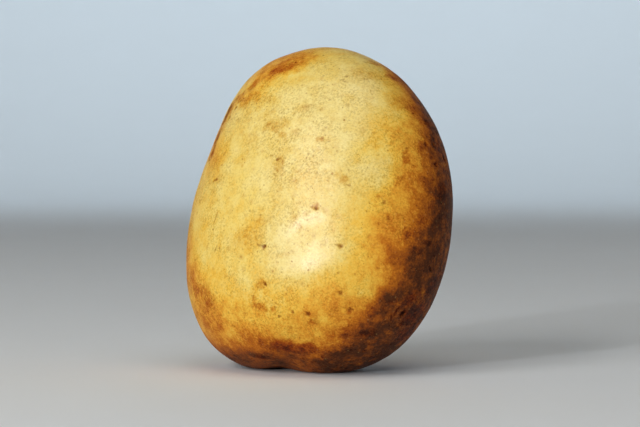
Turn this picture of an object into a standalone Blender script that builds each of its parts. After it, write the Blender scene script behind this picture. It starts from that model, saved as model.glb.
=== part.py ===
"""A potato standing on its blunt end: one solid, because it grew as one piece.

Metres, +Z up. The origin is on the floor, under the middle of the potato's box. -Y is the side that
the broad face looks towards, and +X is on that face's right.

The body is a ball of squared-off roundness, stretched to the potato's three half-sizes. Its slices are
sheared, so that the broad face turns a little to the left, and slid sideways along a bent core. Soft
swells and presses give it its flanks, a trough divides the underside into two lobes, and the floor
plane cuts the flat spots that it rests on.
"""

import math

import bmesh
import bpy
from mathutils import Vector

# Driving dimensions, in metres. The floor plane cuts FLOOR_CUT off the blunt end.
HEIGHT = 0.0955
BELLY_HEIGHT = 0.043
FLOOR_CUT = 0.0014
HALF_WIDTH = 0.0388
HALF_DEPTH = 0.0340

# The powers that square off the ball's roundness: 2 is an ellipse, and more is blunter. The lower
# power takes over as a direction drops from this height above the belly to one radius below it.
UPPER_POWER = 2.1
LOWER_POWER = 2.36
POWER_CHANGE_FROM = 0.5

# The broad face is turned to the left by this much of an ellipse's angle.
FACE_TURN = math.radians(18)

# The core's bend: a slice's height, and how far it is slid to the right and to the back.
CORE = (
    (0.000, -0.0050, -0.0010),
    (0.020, -0.0028, -0.0030),
    (0.043, 0.0002, 0.0000),
    (0.068, 0.0022, 0.0045),
    (0.095, 0.0016, 0.0085),
)

# Soft swells (+) and presses (-): a name, the degrees round from +X towards +Y, the degrees above
# the belly, the degrees it spreads over, and how far the skin moves out at its middle.
SWELLS = (
    ("left_crown_press", 180, 76, 12, -0.0008),
    ("right_crown_press", 0, 70, 10, -0.0005),
    ("right_shoulder_press", 5, 34, 22, -0.0012),
    ("left_flank_press", 180, 25, 16, -0.0016),
    ("left_belly_swell", 180, 6, 10, 0.0004),
    ("left_heel_swell", 180, -54, 12, 0.0009),
    ("right_heel_swell", 0, -50, 11, 0.0005),
    ("front_face_press", 255, 5, 34, -0.0008),
    ("back_swell", 80, -20, 45, 0.0015),
)

# The trough under the blunt end, which runs from front to back between the two lobes. It fades out
# where the skin turns up into the flanks, between these two drops of its direction below the belly.
TROUGH_MIDDLE = (-0.0104, -0.0060)
TROUGH_COMPASS = math.radians(97)
TROUGH_HALF_LENGTH = 0.0140
TROUGH_HALF_WIDTH = 0.0032
TROUGH_DEPTH = 0.0026
TROUGH_FULL_DROP = 0.80
TROUGH_NO_DROP = 0.55

# An icosphere of this many subdivisions has facets of about 2.5 mm here.
BALL_SUBDIVISIONS = 5
SMOOTH_BELOW = math.radians(40)
SKIN_COLOUR = (0.76, 0.52, 0.16, 1.0)
SKIN_ROUGHNESS = 0.5


def clear_scene():
    for obj in list(bpy.data.objects):
        bpy.data.objects.remove(obj, do_unlink=True)


def smooth_step(value):
    value = min(max(value, 0.0), 1.0)
    return value * value * (3.0 - 2.0 * value)


def core_offset(height):
    """How far the slice at this height is slid right and back: a Catmull-Rom curve through CORE."""
    last = len(CORE) - 1
    span = 0
    while span < last - 1 and height > CORE[span + 1][0]:
        span += 1
    low, high = CORE[span], CORE[span + 1]
    before, after = CORE[max(span - 1, 0)], CORE[min(span + 2, last)]
    length = high[0] - low[0]
    part = min(max((height - low[0]) / length, 0.0), 1.0)
    square, cube = part * part, part * part * part
    offsets = []
    for side in (1, 2):
        slope_low = (high[side] - before[side]) / (high[0] - before[0]) * length
        slope_high = (after[side] - low[side]) / (after[0] - low[0]) * length
        offsets.append(
            (2 * cube - 3 * square + 1) * low[side]
            + (cube - 2 * square + part) * slope_low
            + (3 * square - 2 * cube) * high[side]
            + (cube - square) * slope_high
        )
    return offsets


def squared_ball(direction):
    """The point of the squared-off unit ball in this direction."""
    blunt = smooth_step(POWER_CHANGE_FROM - direction.z)
    power = UPPER_POWER + (LOWER_POWER - UPPER_POWER) * blunt
    ring = math.hypot(direction.x, direction.y)
    reach = (ring**power + abs(direction.z) ** power) ** (-1.0 / power)
    return direction * reach


def swell_at(direction):
    """How far the soft swells and presses move the skin in this direction."""
    moved = 0.0
    for _name, compass, above, spread, height in SWELLS:
        compass, above = math.radians(compass), math.radians(above)
        level = math.cos(above)
        middle = Vector((level * math.cos(compass), level * math.sin(compass), math.sin(above)))
        angle = direction.angle(middle) / math.radians(spread)
        moved += height * math.exp(-0.5 * angle * angle)
    return moved


def trough_at(x, y):
    """How far the trough lifts the underside above this point of the floor."""
    x, y = x - TROUGH_MIDDLE[0], y - TROUGH_MIDDLE[1]
    along = x * math.cos(TROUGH_COMPASS) + y * math.sin(TROUGH_COMPASS)
    across = y * math.cos(TROUGH_COMPASS) - x * math.sin(TROUGH_COMPASS)
    away = (along / TROUGH_HALF_LENGTH) ** 2 + (across / TROUGH_HALF_WIDTH) ** 2
    return TROUGH_DEPTH * math.exp(-0.5 * away)


def skin_point(direction):
    """The skin's point in this direction from the middle of the belly."""
    ball = squared_ball(direction)
    swell = swell_at(direction)
    reach = HEIGHT - BELLY_HEIGHT if ball.z > 0 else BELLY_HEIGHT + FLOOR_CUT
    height = BELLY_HEIGHT + reach * ball.z
    right, back = core_offset(height)
    turned = ball.y * math.cos(FACE_TURN) - ball.x * math.sin(FACE_TURN)
    x = right + (HALF_WIDTH + swell) * ball.x
    y = back + (HALF_DEPTH + swell) * turned
    under = smooth_step((-direction.z - TROUGH_NO_DROP) / (TROUGH_FULL_DROP - TROUGH_NO_DROP))
    return Vector((x, y, height + swell * ball.z + trough_at(x, y) * under))


def cut_flat_spots(shape):
    """Cuts the shape at the floor and closes each cut with one flat face."""
    whole = shape.verts[:] + shape.edges[:] + shape.faces[:]
    down = (0, 0, -1)
    bmesh.ops.bisect_plane(shape, geom=whole, dist=1e-7, plane_no=down, clear_outer=True)
    rims = [edge for edge in shape.edges if edge.is_boundary]
    bmesh.ops.holes_fill(shape, edges=rims, sides=0)


def centre_on_floor(shape):
    """Slides the shape so that the origin is under the middle of its box."""
    xs = [vertex.co.x for vertex in shape.verts]
    ys = [vertex.co.y for vertex in shape.verts]
    middle = Vector(((min(xs) + max(xs)) / 2, (min(ys) + max(ys)) / 2, 0))
    bmesh.ops.translate(shape, verts=shape.verts[:], vec=-middle)


def skin_material():
    material = bpy.data.materials.new("potato_skin")
    material.use_nodes = True
    shader = material.node_tree.nodes["Principled BSDF"]
    shader.inputs["Base Color"].default_value = SKIN_COLOUR
    shader.inputs["Roughness"].default_value = SKIN_ROUGHNESS
    shader.inputs["Metallic"].default_value = 0.0
    return material


def build_potato(collection):
    shape = bmesh.new()
    bmesh.ops.create_icosphere(shape, subdivisions=BALL_SUBDIVISIONS, radius=1.0)
    for vertex in shape.verts:
        vertex.co = skin_point(vertex.co.normalized())
    cut_flat_spots(shape)
    centre_on_floor(shape)
    bmesh.ops.recalc_face_normals(shape, faces=shape.faces[:])
    mesh = bpy.data.meshes.new("potato")
    shape.to_mesh(mesh)
    shape.free()
    mesh.shade_smooth()
    mesh.set_sharp_from_angle(angle=SMOOTH_BELOW)
    mesh.materials.append(skin_material())
    potato = bpy.data.objects.new("potato", mesh)
    collection.objects.link(potato)


def main():
    clear_scene()
    collection = bpy.data.collections.new("potato")
    bpy.context.scene.collection.children.link(collection)
    build_potato(collection)


main()
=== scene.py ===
"""The looks of a potato that stands on its blunt end: its skin, its marks, a plain stage, lights and camera.

Metres, +Z up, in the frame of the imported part: the origin is on the floor under the middle of the potato,
-Y is the side that the broad face looks towards, and +X is on that face's right. Sizes of marks and
zones are in millimetres, because that is how a potato's blemishes are measured.

The skin is one closed mesh. TuberForm wraps it on the CAD solid and smooths out the facets. SkinSheet holds
its vertices as arrays while zones tint it and marks press into it and stain it. SkinGrowth, a Geometry Nodes
tree, gives it its unevenness and its lenticels. SkinFinish is the material that reads all of that.
"""

import logging
import math
import random
from dataclasses import dataclass
from enum import Enum

import bmesh
import bpy
import numpy as np
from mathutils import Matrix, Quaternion, Vector, noise
from mathutils.bvhtree import BVHTree


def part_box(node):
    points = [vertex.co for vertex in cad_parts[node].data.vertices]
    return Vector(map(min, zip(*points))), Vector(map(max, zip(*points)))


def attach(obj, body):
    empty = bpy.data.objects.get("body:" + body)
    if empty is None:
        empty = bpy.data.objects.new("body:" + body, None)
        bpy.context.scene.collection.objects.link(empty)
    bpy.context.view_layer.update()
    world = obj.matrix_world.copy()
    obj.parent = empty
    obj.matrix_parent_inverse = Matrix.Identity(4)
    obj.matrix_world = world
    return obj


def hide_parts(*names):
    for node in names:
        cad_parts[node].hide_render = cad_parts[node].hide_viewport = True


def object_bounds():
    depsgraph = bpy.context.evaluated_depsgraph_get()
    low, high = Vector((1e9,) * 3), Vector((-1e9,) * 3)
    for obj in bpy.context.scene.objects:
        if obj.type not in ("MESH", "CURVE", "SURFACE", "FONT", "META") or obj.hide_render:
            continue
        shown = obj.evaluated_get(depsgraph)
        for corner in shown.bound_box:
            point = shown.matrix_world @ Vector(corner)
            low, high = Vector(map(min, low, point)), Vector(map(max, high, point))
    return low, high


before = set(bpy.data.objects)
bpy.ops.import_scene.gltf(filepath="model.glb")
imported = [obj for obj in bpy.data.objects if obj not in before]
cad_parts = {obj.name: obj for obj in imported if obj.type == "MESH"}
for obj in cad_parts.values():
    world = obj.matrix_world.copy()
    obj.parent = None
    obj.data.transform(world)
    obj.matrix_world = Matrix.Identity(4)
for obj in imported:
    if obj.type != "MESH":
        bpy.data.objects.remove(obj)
CAD_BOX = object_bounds()

MM = 0.001

# A wire is what one node puts out. Sources are what goes into a node's inputs, by name or number: wires or
# plain values.
Colour = tuple[float, float, float, float]
Span = tuple[float, float]
Wire = bpy.types.NodeSocket
Sockets = bpy.types.bpy_prop_collection
Sources = dict[str | int, object]

log = logging.getLogger("potato")


def smooth_step(value: np.ndarray) -> np.ndarray:
    """Eases a value from 0 to 1, and holds it there on both sides."""
    value = np.clip(value, 0.0, 1.0)
    return value * value * (3.0 - 2.0 * value)


# ---------------------------------------------------------------------------------------------------------
# What the skin's vertices carry, and how a place on the skin is named
# ---------------------------------------------------------------------------------------------------------


class Channel(Enum):
    """A number from 0 to 1 that each vertex of the skin carries, and that its material reads."""

    WARMTH = "warmth"
    STAIN = "stain"
    RUSSET = "russet"
    SCAB = "scab"
    FRECKLE = "freckle"
    LENTICEL = "lenticel"


class Side(Enum):
    """A side of the potato, as its outward, rightward and upward directions for someone who faces it."""

    FRONT = ((0, -1, 0), (1, 0, 0), (0, 0, 1))
    BACK = ((0, 1, 0), (-1, 0, 0), (0, 0, 1))
    LEFT = ((-1, 0, 0), (0, -1, 0), (0, 0, 1))
    RIGHT = ((1, 0, 0), (0, 1, 0), (0, 0, 1))
    CROWN = ((0, 0, 1), (1, 0, 0), (0, 1, 0))
    BASE = ((0, 0, -1), (1, 0, 0), (0, -1, 0))

    @property
    def outward(self) -> Vector:
        """The direction that this side looks in."""
        return Vector(self.value[0])

    @property
    def rightward(self) -> Vector:
        """The direction of its right hand."""
        return Vector(self.value[1])

    @property
    def upward(self) -> Vector:
        """The direction of its top."""
        return Vector(self.value[2])


# ---------------------------------------------------------------------------------------------------------
# The bare form
# ---------------------------------------------------------------------------------------------------------


@dataclass
class TuberForm:
    """The bare form of the tuber: a fine closed mesh wrapped on the CAD solid, with no facets left.

    Cells is how many squares lie along each edge of the cube that is wrapped.
    """

    node: str = "potato"
    cells: int = 128
    merge_distance: float = 0.001 * MM
    smoothing_rounds: int = 70
    smoothing_pull: float = 0.5

    def wrap(self) -> bpy.types.Object:
        """Wraps a cube of small squares on the solid, from its inside.

        Returns:
            The skin as an object at the origin, with no modifiers.
        """
        solid = bmesh.new()
        solid.from_mesh(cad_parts[self.node].data)
        bmesh.ops.remove_doubles(solid, verts=solid.verts[:], dist=self.merge_distance)
        tree = BVHTree.FromBMesh(solid)
        solid.free()
        low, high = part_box(self.node)
        middle = (low + high) / 2

        skin = bmesh.new()
        bmesh.ops.create_cube(skin, size=2.0)
        bmesh.ops.subdivide_edges(skin, edges=skin.edges[:], cuts=self.cells - 1, use_grid_fill=True)
        for vertex in skin.verts:
            direction = Vector([math.tan(part * math.pi / 4) for part in vertex.co])
            vertex.co = tree.ray_cast(middle, direction.normalized())[0]
        mesh = bpy.data.meshes.new("potato_skin")
        skin.to_mesh(mesh)
        skin.free()
        piece = bpy.data.objects.new("potato_skin", mesh)
        bpy.context.scene.collection.objects.link(piece)

        smoothing = piece.modifiers.new("even out the facets", "SMOOTH")
        smoothing.factor = self.smoothing_pull
        smoothing.iterations = self.smoothing_rounds
        make_plain(piece)
        return piece


def make_plain(piece: bpy.types.Object) -> None:
    """Turns a piece and its modifiers into a plain mesh.

    Args:
        piece: The object, which keeps its name and loses its modifiers.
    """
    graph = bpy.context.evaluated_depsgraph_get()
    mesh = bpy.data.meshes.new_from_object(piece.evaluated_get(graph), depsgraph=graph)
    before = piece.data
    piece.modifiers.clear()
    piece.data = mesh
    bpy.data.meshes.remove(before)
    mesh.name = piece.name


# ---------------------------------------------------------------------------------------------------------
# The skin as arrays, the zones that tint it and the marks on it
# ---------------------------------------------------------------------------------------------------------


class SkinSheet:
    """The skin's vertices in millimetres, and the channels that they carry, while it is tinted and marked.

    Brownest is the most warmth that the skin may have.
    """

    brownest: float = 0.95

    def __init__(self, piece: bpy.types.Object) -> None:
        """Reads the piece's vertices and the directions that they face.

        Args:
            piece: The bare form.
        """
        self.piece = piece
        count = len(piece.data.vertices)
        points = np.empty(count * 3, np.float32)
        facing = np.empty(count * 3, np.float32)
        piece.data.vertices.foreach_get("co", points)
        piece.data.vertex_normals.foreach_get("vector", facing)
        self.points = points.reshape(-1, 3).astype(float) / MM
        self.facing = facing.reshape(-1, 3).astype(float)
        self.channels = {channel: np.zeros(count) for channel in Channel}
        self.moved = np.zeros(count)
        self.tree = BVHTree.FromPolygons(
            [Vector(point) for point in self.points],
            [tuple(face.vertices) for face in piece.data.polygons],
        )

    def place(self, side: Side, across: float, up: float) -> tuple[Vector, Vector]:
        """Finds the place on the skin that someone who faces a side sees at a given spot.

        Args:
            side: The side faced.
            across: Millimetres to the right of the origin.
            up: Millimetres above the origin.

        Returns:
            The point on the skin and the direction that it faces.
        """
        outside = 200.0
        spot = side.rightward * across + side.upward * up
        hit, facing, _face, _reach = self.tree.ray_cast(spot + side.outward * outside, -side.outward)
        if hit is None:
            hit, facing, _face, _reach = self.tree.find_nearest(spot)
        return hit, facing

    def tint(self, channel: Channel, amount: np.ndarray, where: np.ndarray | slice = slice(None)) -> None:
        """Adds an amount to a channel, at the vertices with the given numbers or at all of them."""
        self.channels[channel][where] += amount

    def cover(self, channel: Channel, amount: np.ndarray, where: np.ndarray) -> None:
        """Raises a channel to an amount where it is lower, at the vertices with the given numbers."""
        held = self.channels[channel]
        held[where] = np.maximum(held[where], amount)

    def finish(self) -> None:
        """Moves the vertices as the marks ask, but not through the floor, and stores the channels."""
        points = self.points + self.facing * self.moved[:, None]
        points[:, 2] = np.maximum(points[:, 2], 0.0)
        mesh = self.piece.data
        mesh.vertices.foreach_set("co", (points * MM).astype(np.float32).ravel())
        np.minimum(self.channels[Channel.WARMTH], self.brownest, out=self.channels[Channel.WARMTH])
        for channel, values in self.channels.items():
            attribute = mesh.attributes.new(channel.value, "FLOAT", "POINT")
            attribute.data.foreach_set("value", np.clip(values, 0.0, 1.0).astype(np.float32))
        mesh.update()


@dataclass(frozen=True)
class Zone:
    """A soft-edged egg of space that tints the skin inside it.

    Its middle and half-sizes are in millimetres, and soft is the share of its half-size over which it fades.
    """

    middle: tuple[float, float, float]
    half: tuple[float, float, float]
    amount: float
    soft: float = 0.6

    def tint(self, skin: SkinSheet, channel: Channel) -> None:
        """Adds the zone's amount to a channel, full inside the zone and fading out across its edge."""
        away = np.linalg.norm((skin.points - self.middle) / self.half, axis=1)
        skin.tint(channel, self.amount * smooth_step((1.0 + self.soft - away) / (2 * self.soft)))


@dataclass(frozen=True)
class MarkStyle:
    """How a kind of mark looks.

    Depth and lip are in millimetres for a mark 1 mm across, and grow with the root of its size. Scab and
    stain are how strong those are on it, warm is how much browner the skin round it is, and pepper how much
    more freckled. Ragged is how uneven its outline is. The rest are in half-sizes of the mark: its outline
    fades out over edge, its tints are full within core and reach out to halo, and its lip stands at lip_at
    and is lip_width wide.
    """

    depth: float = 0.0
    lip: float = 0.0
    scab: float = 0.0
    stain: float = 0.0
    warm: float = 0.0
    pepper: float = 0.1
    halo: float = 1.8
    ragged: float = 0.6
    edge: float = 0.7
    core: float = 0.4
    lip_at: float = 1.3
    lip_width: float = 0.3


class Kind(Enum):
    """A kind of mark on the skin, with its style."""

    FLECK = MarkStyle(depth=0.05, scab=0.52, stain=0.38, warm=0.03, ragged=0.55)
    PIT = MarkStyle(
        depth=0.20, lip=0.05, scab=0.72, stain=0.50, warm=0.04, pepper=0.3, halo=2.1, ragged=0.55
    )
    CLOUD = MarkStyle(stain=0.40, warm=0.07, pepper=0.12, halo=1.7, edge=1.5)
    STAIN = MarkStyle(depth=0.02, scab=0.08, stain=0.66, warm=0.06, pepper=0.5, halo=1.7, edge=1.3)
    SCAB = MarkStyle(depth=-0.05, scab=0.62, stain=0.60, warm=0.08, pepper=0.3, halo=1.9, edge=1.1)
    SCRATCH = MarkStyle(depth=0.07, lip=0.03, scab=0.50, stain=0.30, warm=0.03, halo=2.0, ragged=0.3)
    DENT = MarkStyle(depth=0.15, warm=0.02, halo=1.6, ragged=0.15, edge=1.8)


@dataclass(frozen=True)
class Mark:
    """One mark on the skin, in millimetres and degrees, as someone who faces its side sees it.

    Its length lies level and turns anticlockwise by turn. Across is measured to the right of the potato's
    middle, and up above the floor, or above the middle on the crown and the base.
    """

    kind: Kind
    across: float
    up: float
    length: float
    width: float
    turn: float = 0.0
    strength: float = 1.0

    def press(self, skin: SkinSheet, side: Side) -> None:
        """Presses the mark into the skin and stains the skin with it.

        Args:
            skin: The skin.
            side: The side that the mark is on.
        """
        style = self.kind.value
        middle, facing = skin.place(side, self.across, self.up)
        level = side.upward.cross(facing).normalized()
        rise = facing.cross(level)
        turn = math.radians(self.turn)
        along = level * math.cos(turn) + rise * math.sin(turn)
        over = rise * math.cos(turn) - level * math.sin(turn)

        reach = style.halo * (1.0 + style.ragged) * max(self.length, self.width) / 2
        offsets = skin.points - np.array(middle)
        near = np.flatnonzero((np.abs(offsets) < reach).all(axis=1) & (skin.facing @ np.array(facing) > 0))
        offsets = offsets[near]
        half = np.array((self.length, self.width)) / 2
        flat = np.stack((offsets @ np.array(along), offsets @ np.array(over)), axis=1) / half
        away = np.linalg.norm(flat, axis=1) + style.ragged * self.wobble(skin.points[near])

        inside = smooth_step((1.0 + style.edge / 2 - away) / style.edge)
        around = smooth_step((style.halo - away) / (style.halo - style.core))
        skin.cover(Channel.SCAB, style.scab * self.strength * inside, near)
        skin.cover(Channel.STAIN, style.stain * self.strength * around, near)
        skin.tint(Channel.WARMTH, style.warm * self.strength * around, near)
        skin.tint(Channel.FRECKLE, style.pepper * self.strength * around, near)
        grown = math.sqrt(self.width)
        lip = np.exp(-(((away - style.lip_at) / style.lip_width) ** 2))
        skin.moved[near] += self.strength * grown * (style.lip * lip - style.depth * inside)

    def wobble(self, points: np.ndarray) -> np.ndarray:
        """How far the mark's outline is pushed in or out at each point, from about -1 to 1.

        Args:
            points: The points, in millimetres.

        Returns:
            A push for each point.
        """
        bends_across = 1.6
        narrowest = 0.8
        grain = bends_across / max(self.width, narrowest)
        return np.array([noise.noise(Vector(point) * grain) for point in points])


@dataclass(frozen=True)
class StrayFlecks:
    """Small flecks scattered all round the potato, with spans in millimetres and degrees."""

    count: int = 260
    seed: int = 5
    sides: tuple[Side, ...] = (Side.FRONT, Side.BACK, Side.LEFT, Side.RIGHT, Side.CROWN)
    across: Span = (-34, 34)
    up: Span = (4, 90)
    up_on_crown: Span = (-32, 32)
    width: Span = (0.5, 1.1)
    stretch: Span = (1.0, 1.7)
    turn: Span = (-40, 40)
    strength: Span = (0.25, 0.7)

    def scatter(self, skin: SkinSheet) -> None:
        """Presses the flecks into the skin.

        Args:
            skin: The skin.
        """
        draw = random.Random(self.seed)
        for _fleck in range(self.count):
            side = draw.choice(self.sides)
            width = draw.uniform(*self.width)
            across = draw.uniform(*self.across)
            up = draw.uniform(*(self.up_on_crown if side is Side.CROWN else self.up))
            length = width * draw.uniform(*self.stretch)
            turn = draw.uniform(*self.turn)
            strength = draw.uniform(*self.strength)
            Mark(Kind.FLECK, across, up, length, width, turn, strength).press(skin, side)


# ---------------------------------------------------------------------------------------------------------
# Where the tints and the marks are
# ---------------------------------------------------------------------------------------------------------

WARMTH_ZONES = (
    # How far the ground colour is along the scale from cream to bark, on the whole potato.
    Zone((0, 0, 45), (200, 200, 200), 0.22),
    # The clean face.
    Zone((-3, -38, 54), (15, 34, 34), -0.10, 0.5),
    Zone((-21, -26, 58), (8, 20, 12), -0.05, 0.5),
    Zone((-21, -22, 73), (8, 20, 7), -0.12),
    Zone((9, -20, 71), (5, 16, 5), -0.07),
    Zone((14, -24, 64), (4, 16, 4), 0.10),
    Zone((17.5, -26, 59.5), (5, 20, 5), -0.18),
    Zone((27, -14, 46), (5, 20, 14), -0.16),
    Zone((24, -22, 41), (4, 20, 4), -0.14),
    Zone((15, -26, 42), (5, 20, 6), 0.12),
    Zone((8, -30, 44), (6, 20, 8), 0.08),
    Zone((-10, -28, 37), (6, 20, 9), -0.04),
    # The russet flank: real russet, darkened further as painted shade on the side turned away from the key
    # light.
    Zone((52, -8, 27), (30.5, 80, 64), 0.82, 0.5),
    Zone((35, 8, 84), (16, 28, 24), 0.34, 0.35),
    Zone((22, -28, 34), (11, 20, 12), 0.20),
    # Painted shade along the right rim, the edge turned away from the key light.
    Zone((38, -4, 65), (7, 20, 10), 0.20),
    Zone((32, -10, 37.5), (4.5, 16, 5), -0.40),
    Zone((28, -15, 31), (6, 20, 7), 0.13),
    Zone((21, -25, 29), (4, 20, 4), -0.12),
    # Painted shade low on the right flank by the floor, where the key light doesn't reach.
    Zone((35, 0, 21), (6, 25, 11), 0.22),
    Zone((28, -12, 19), (8.5, 20, 9), 0.24),
    # The left flank.
    Zone((-42, 0, 45), (13, 70, 70), 0.06, 0.4),
    Zone((-44, -5, 33), (9, 24, 13), 0.18, 0.4),
    Zone((-34, -12, 21), (9, 22, 9), 0.21),
    Zone((-31.5, 2, 69), (3.5, 10, 9), 0.18),
    Zone((-26, -4, 83), (4, 12, 4), 0.20),
    # The heel: browner towards the floor, partly real darker skin and partly painted shade.
    Zone((16, -30, -2), (62, 120, 27), 0.32, 0.33),
    Zone((0, 0, 0), (90, 90, 8), 0.38),
    Zone((0, -30, 25), (13, 20, 6), 0.17),
    Zone((19, -20, 12), (15, 30, 14), 0.26, 0.5),
    Zone((8, -28, 29.5), (7, 20, 5), 0.11),
    Zone((15, -28, 26.5), (4, 20, 4), -0.12),
    Zone((11.5, -28, 24.5), (4.5, 20, 4.5), -0.26, 0.95),
    Zone((4, -26, 16.5), (4.5, 20, 4.5), -0.12),
    Zone((-8, -26, 7.5), (6, 20, 3), 0.12),
    Zone((-26, -14, 13), (7, 20, 4), 0.09),
    Zone((-18, -12, 3), (6, 12, 3), 0.14),
    Zone((-17, -26, 19), (15, 20, 8), -0.06, 0.7),
    # The crown.
    Zone((-17, 0, 92), (13, 30, 9), 0.16, 0.5),
    Zone((-12, 10, 97), (20, 40, 7), 0.16),
    Zone((3, -18, 81), (16, 28, 13), -0.17, 0.5),
    Zone((2, -5, 97), (44, 44, 14), 0.08, 0.5),
    Zone((13, -20, 77), (8, 16, 7), 0.10),
    Zone((29, -6, 78), (5, 14, 8), 0.08),
    Zone((23.5, -15, 78), (4, 12, 4), -0.12),
    Zone((14, -14, 83), (5, 16, 5), -0.05),
    Zone((21, -4, 88), (6, 14, 5), 0.12),
    # The far edge of the right side's netting, which wanders.
    Zone((24, 24, 62), (9, 9, 10), 0.20, 0.8),
    Zone((20, 30, 38), (9, 9, 7), 0.18, 0.8),
    Zone((35, 16, 50), (7, 9, 8), -0.26, 0.8),
    Zone((33, 18, 28), (6, 9, 6), -0.20, 0.8),
    Zone((27, 22, 76), (7, 10, 7), 0.16, 0.8),
)

RUSSET_ZONES = (
    # Where the brown is netted.
    Zone((0, 0, 45), (200, 200, 200), 0.10),
    Zone((50, 4, 46), (24, 60, 60), 0.45, 0.4),
    Zone((22, -10, 8), (22, 40, 17), 0.36, 0.5),
    Zone((0, 0, -4), (60, 60, 16), 0.15, 0.5),
    Zone((-6, 30, 20), (30, 20, 22), 0.3),
    Zone((-20, -15, 80), (7, 14, 6), 0.35),
    Zone((-9, -5, 89), (8, 14, 5), 0.25),
)

FRECKLE_ZONES = (
    # Where the fine specks are dense.
    Zone((0, 0, 45), (200, 200, 200), 0.40),
    Zone((-5, -30, 60), (9, 24, 20), 0.15, 0.5),
    Zone((4, -30, 38), (12, 24, 10), -0.14),
    Zone((-20, -15, 80), (7, 14, 6), 0.45),
    Zone((-20, -24, 56), (7, 20, 10), -0.25),
    Zone((36, 0, 45), (18, 60, 60), 0.15),
    Zone((-17, -26, 19), (15, 20, 8), 0.14, 0.7),
    Zone((0, 0, 8), (60, 60, 20), 0.06),
    Zone((-14, -26, 66), (12, 20, 10), 0.14),
)

ZONES = {
    Channel.WARMTH: WARMTH_ZONES,
    Channel.RUSSET: RUSSET_ZONES,
    Channel.FRECKLE: FRECKLE_ZONES,
}

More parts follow.
